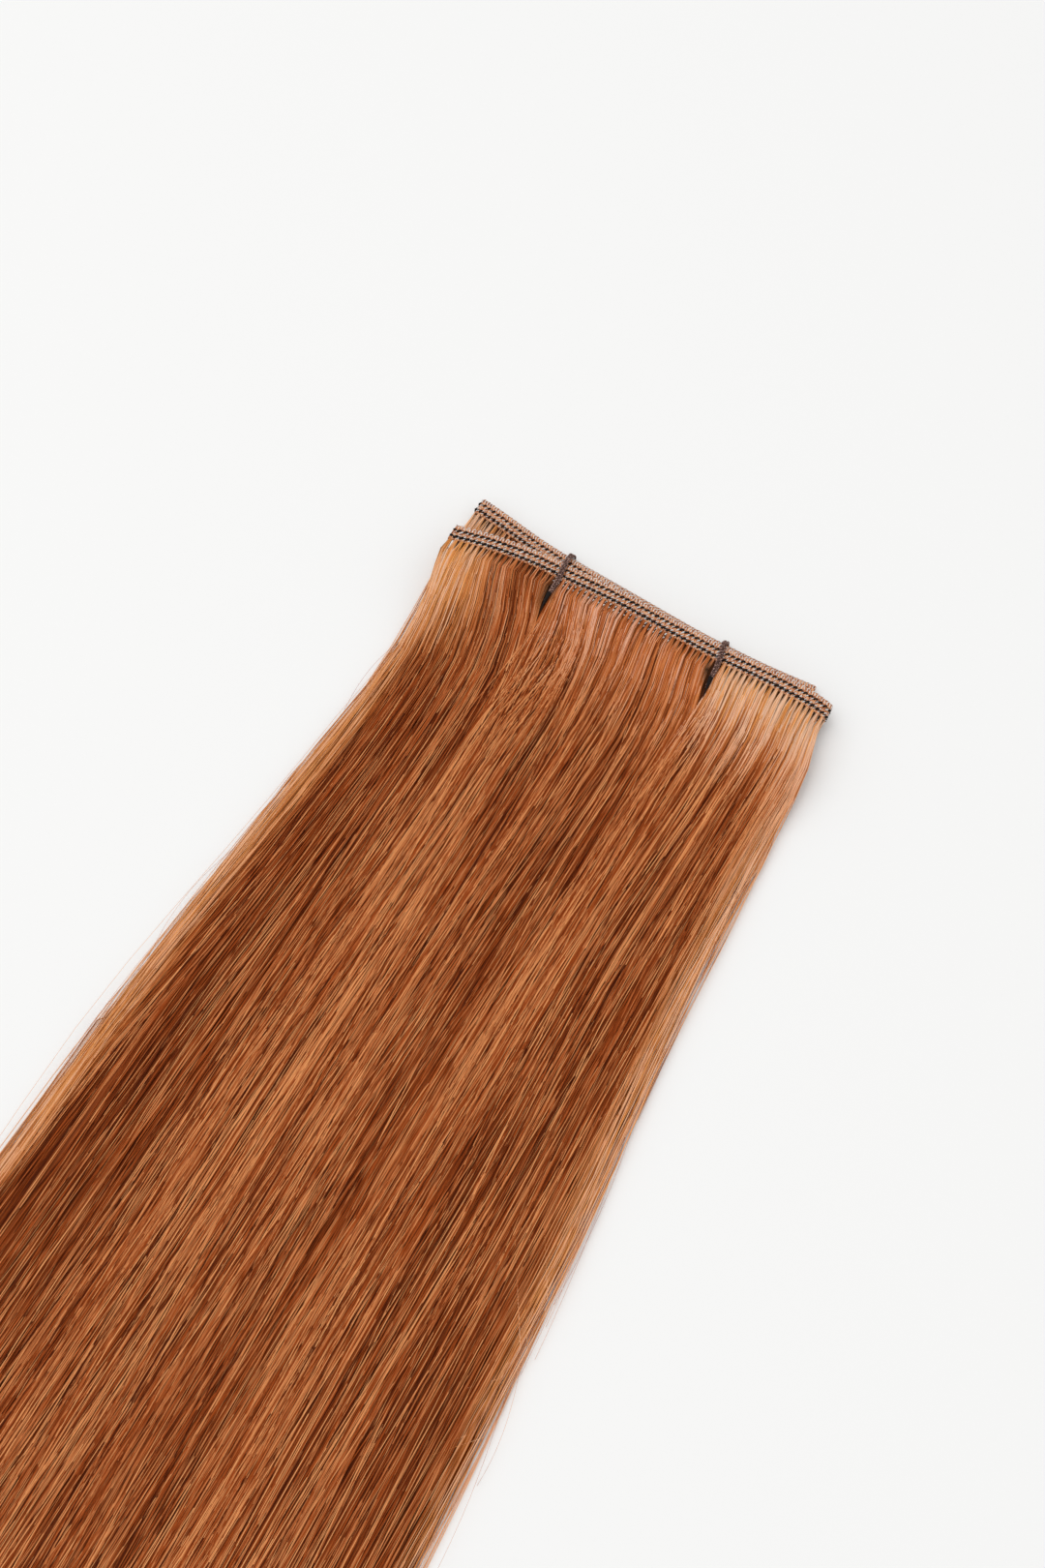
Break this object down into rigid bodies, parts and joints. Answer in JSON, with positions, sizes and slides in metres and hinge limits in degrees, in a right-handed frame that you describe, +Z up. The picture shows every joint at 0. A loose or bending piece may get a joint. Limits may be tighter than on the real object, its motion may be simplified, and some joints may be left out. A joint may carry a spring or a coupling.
{
  "type": "hair weft extension",
  "caption": "Long straight hair on a thin sewn weft band that is folded to and fro, held shut by thread ties and laid flat.",
  "frame": {"origin": "on the surface that the weft lies on, under the middle of its outline", "axes": "+X along the sewn band, +Y from the tips towards the band, +Z up from the surface"},
  "size_m": [0.1476, 0.4706, 0.0086],
  "materials": {
    "sewn_band": "thin translucent stitched band",
    "hair": "silky straight copper hair",
    "tie_thread": "dark twisted thread"
  },
  "bodies": {
    "root": {"weft_band": "sewn_band", "hair_bottom_layer": "hair", "hair_middle_layer": "hair", "hair_top_layer": "hair", "tie_thread_left": "tie_thread", "tie_thread_right": "tie_thread"}
  },
  "joints": []
}
